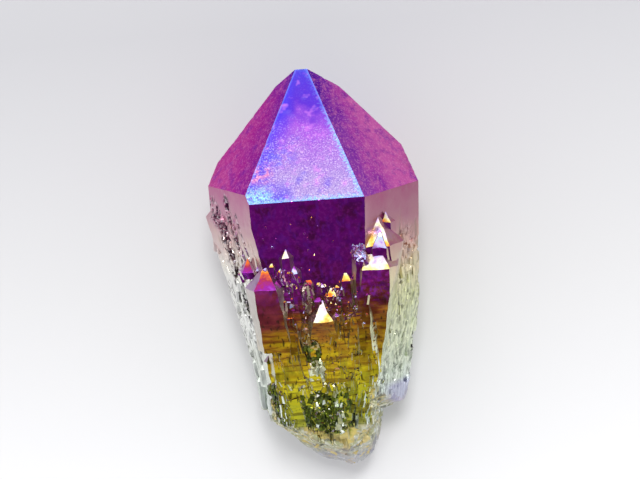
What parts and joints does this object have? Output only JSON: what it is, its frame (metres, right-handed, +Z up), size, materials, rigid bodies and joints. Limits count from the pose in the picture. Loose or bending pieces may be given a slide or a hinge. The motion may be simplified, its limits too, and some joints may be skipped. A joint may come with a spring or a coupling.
{
  "type": "rainbow aura quartz point",
  "caption": "Metal-coated quartz point lying on its back, with a six-faced tip, small parallel crystals, ribs and pits over its prism, and a broken root.",
  "frame": {"origin": "under the middle of the crystal's box, on the surface it lies on", "axes": "+Z up, +Y towards the apex, +X to the right of the front face, which looks up"},
  "size_m": [0.0296, 0.055, 0.0248],
  "materials": {
    "coated_quartz": "iridescent thin metal film on quartz, glossy"
  },
  "bodies": {
    "root": {"aura_quartz_point": "coated_quartz"}
  },
  "joints": []
}
